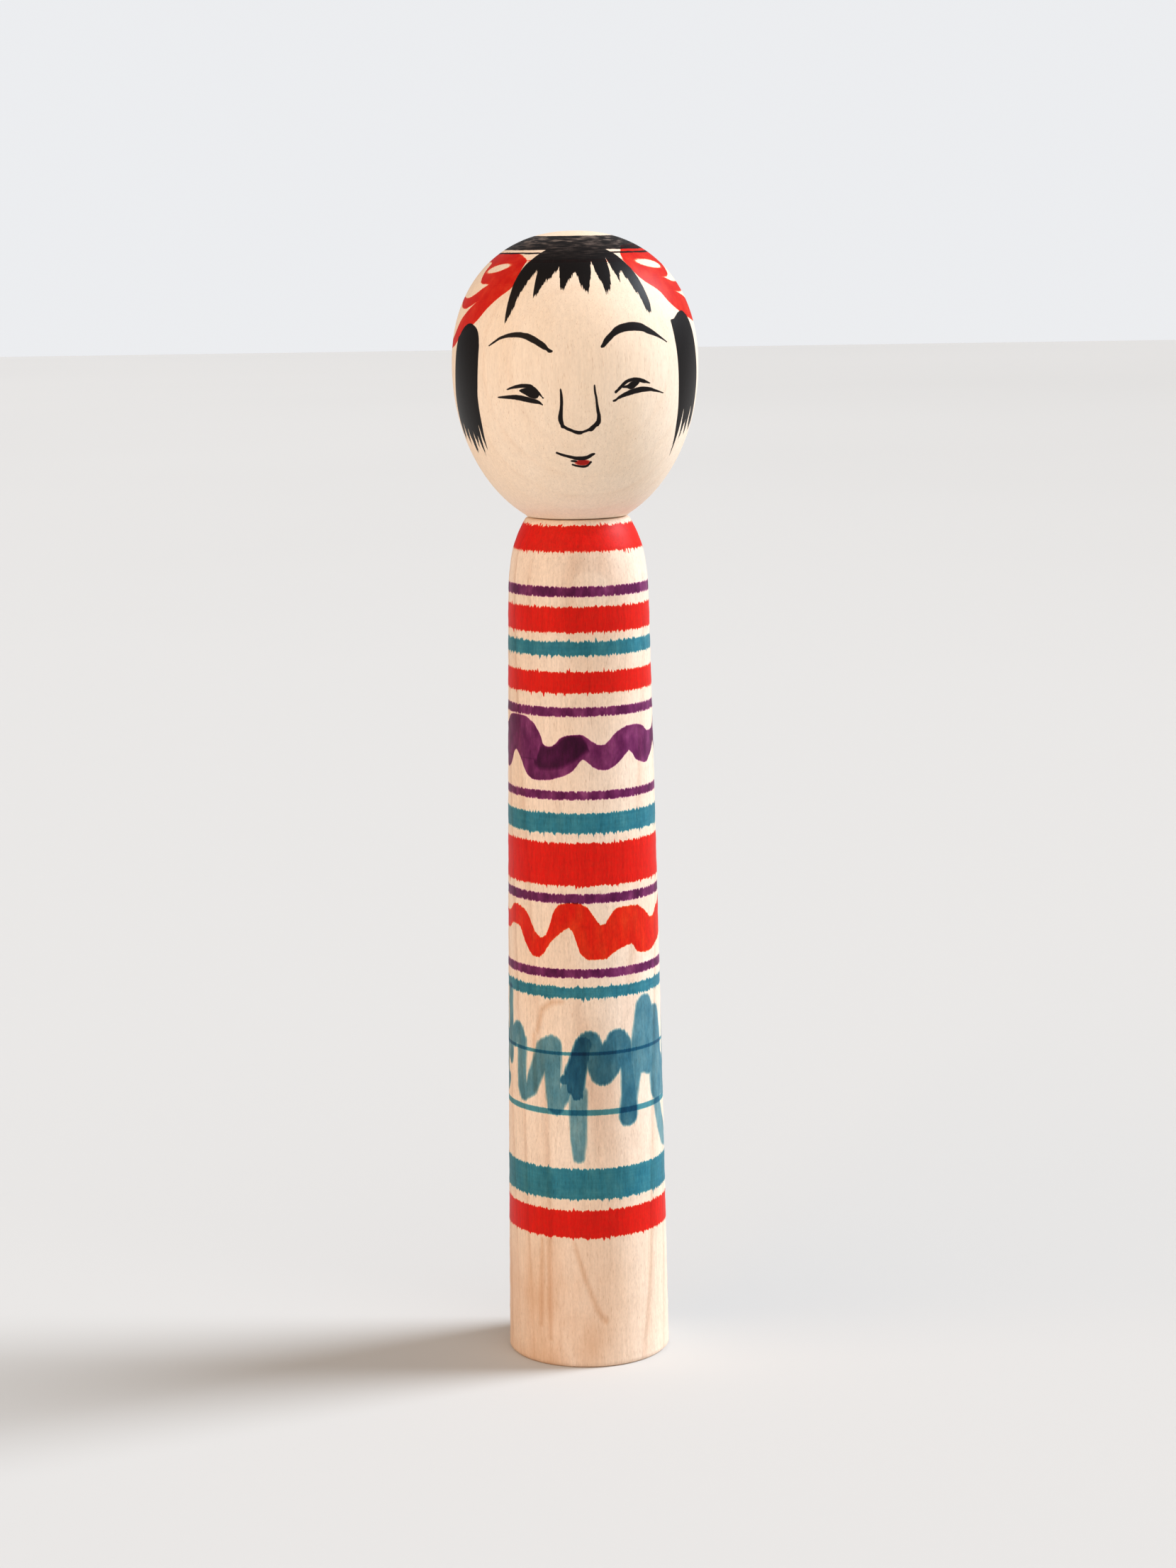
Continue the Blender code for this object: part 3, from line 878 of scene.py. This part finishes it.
def headMaterial(look):
    material, start = newMaterial("head_painted_wood", look["finish"])
    place, across, deep, height, azimuth = polar(start)
    tilt = distance(across, deep).maths("ARCTAN2", height - look["centre"]) * (180 / math.pi)
    wood, soft, ragged = look["wood"], look["soft"], look["ragged"]
    grain = woodGrain(place, height, wood)
    tone = woodColour(grain, wood)

    quick, slow = look["streaks"]
    hair = place.node("CombineXYZ", None, {0: azimuth * quick, 1: tilt * slow, 2: 0.0})
    streak = hair.noise((1, 1, 1), detail=3.0) - 0.5
    turn = place.noise(look["turn"], detail=3.0)
    nap = grain["fleck"] - 0.5

    red = union(ribbonShape(azimuth, tilt, ribbon) for ribbon in ribbons)
    red = (red + nap * ragged["ribbon"] + streak * ragged["ribbonStreak"]).edge(soft["ribbon"])
    pool = place.noise(look["pool"], detail=3.0).ramp(0.28, 0.72)
    bare = wood["pale"]
    tone = dyed(tone, red * depthOf(look["ribbonLay"], pool), dyeFor(look["redDye"], bare))

    line, lineHalf = look["crownLine"]
    ink = between(tilt, *look["crownRing"]).most(lineHalf - abs(tilt - line))
    ink = (ink + (turn - 0.5) * ragged["crown"]).most(fringeShape(azimuth, tilt, streak, look))
    for lock in sideLocks:
        ink = ink.most(lockShape(azimuth, tilt, streak, look, lock))
    hairInk = (ink + nap * ragged["hair"]).edge(soft["hair"])

    lines = (brows, upperLids, pupils, lowerLids, *noseAndMouth)
    face = union(brushed(azimuth, tilt, arcs) for arcs in lines)
    for side in (noseLeft, noseRight):
        face = face.most(brushed(tilt, azimuth, [side]))
    faceInk = (face + nap * ragged["face"] + look["faceBolder"]).edge(soft["face"])

    lipAzimuth, lipTilt, narrow, flat = look["lip"]
    lip = 1 - distance((azimuth - lipAzimuth) * narrow, (tilt - lipTilt) * flat)
    tone = dyed(tone, (lip + nap * ragged["face"]).edge(soft["face"]), dyeFor(look["lipDye"], bare))

    # the turned ring at the crown is thinner and streaked along its turns
    worn = tilt.ramp(*look["wornUp"]) * turn.ramp(0.6, 0.38)
    worn = worn + (streak + 0.5).ramp(0.4, 0.2) * look["wornStreaks"]
    inked = hairInk * (look["hairDepth"] - worn * look["hairWorn"])
    tone = dyed(tone, inked.most(faceInk * look["faceDepth"]), dyeFor(look["inkDye"], bare))

    painted = hairInk.most(faceInk).most(red)
    rough = waxRoughness(grain, painted, look["wax"])
    normal = grainRelief(grain, look["relief"])
    connect(material, {"Base Color": tone, "Roughness": rough, "Normal": normal})
    return material


body = turned("body_wood_turned", bodyOutline(), bodyMaterial(bodyPaint))
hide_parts("body")
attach(body, "body")
print("body turned and painted")

head = turned("head_wood_turned", headOutline(), headMaterial(headPaint))
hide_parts("head")
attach(head, "head")
print("head turned and painted")


studio = {
    "floorSize": 12.0,
    "floorColours": (colour(206, 204, 200), colour(199, 197, 193)),
    "floorFinish": {"Roughness": 0.9, "Specular IOR Level": 0.05},
    "backdrop": (0.84, 0.85, 0.87, 1.0),
    "ambient": (0.32, 0.325, 0.335, 1.0),
    # azimuth, elevation and softness in degrees, strength and colour of each lamp
    "lamps": {
        "key": (102, 36, 26, 4.1, (0.92, 1.0, 1.11)),
        "fill": (-55, 24, 60, 1.5, (1.0, 0.71, 0.47)),
        "front": (15, 36, 70, 0.65, (1.0, 0.95, 0.89)),
    },
    "cameraPlace": (0.00145, -0.7041, 0.2438),
    "cameraPitch": 80.436,
    "cameraRoll": -0.8315,
    "sensor": 36.0,
    "lens": 76.15,
}


def makeFloor():
    half = studio["floorSize"] / 2
    level = cadBounds[0][2]
    mesh = bpy.data.meshes.new("floor")
    corners = [(-half, -half, level), (half, -half, level), (half, half, level), (-half, half, level)]
    mesh.from_pydata(corners, [], [(0, 1, 2, 3)])
    material, start = newMaterial("pale_floor", studio["floorFinish"])
    mottle = start.node("TexNoise", None, {"Scale": 3.0, "Detail": 4.0})
    tone = mottle.ramp(0.3, 0.7).mixed(*studio["floorColours"])
    connect(material, {"Base Color": tone})
    mesh.materials.append(material)
    floor = bpy.data.objects.new("floor", mesh)
    bpy.context.scene.collection.objects.link(floor)


def makeLamps():
    for name, (azimuth, elevation, softness, strength, tint) in studio["lamps"].items():
        turn, rise = math.radians(azimuth), math.radians(elevation)
        aim = Vector((math.sin(turn) * math.cos(rise), -math.cos(turn) * math.cos(rise), math.sin(rise)))
        light = bpy.data.lights.new(name, "SUN")
        light.energy = strength
        light.angle = math.radians(softness)
        light.color = tint
        lamp = bpy.data.objects.new(name, light)
        lamp.location = aim
        lamp.rotation_euler = aim.to_track_quat("Z", "Y").to_euler()
        bpy.context.scene.collection.objects.link(lamp)


def makeWorld():
    # the backdrop is seen paler than the light it gives
    world = bpy.data.worlds.new("studio")
    world.use_nodes = True
    start = Wire(world.node_tree)
    seen = start.node("LightPath", out="Is Camera Ray")
    tone = seen.mixed(studio["ambient"], studio["backdrop"])
    world.node_tree.links.new(tone.socket, world.node_tree.nodes["Background"].inputs["Color"])
    bpy.context.scene.world = world
    bpy.context.scene.view_settings.view_transform = "Standard"


def makeCamera():
    lens = bpy.data.cameras.new("camera")
    lens.sensor_fit = "VERTICAL"
    lens.sensor_height = studio["sensor"]
    lens.lens = studio["lens"]
    lens.clip_start = 0.01
    camera = bpy.data.objects.new("camera", lens)
    pitch = Matrix.Rotation(math.radians(studio["cameraPitch"]), 4, "X")
    roll = Matrix.Rotation(math.radians(studio["cameraRoll"]), 4, "Z")
    camera.matrix_world = Matrix.Translation(studio["cameraPlace"]) @ pitch @ roll
    bpy.context.scene.collection.objects.link(camera)
    bpy.context.scene.camera = camera


makeFloor()
makeLamps()
makeWorld()
makeCamera()
print("studio set")
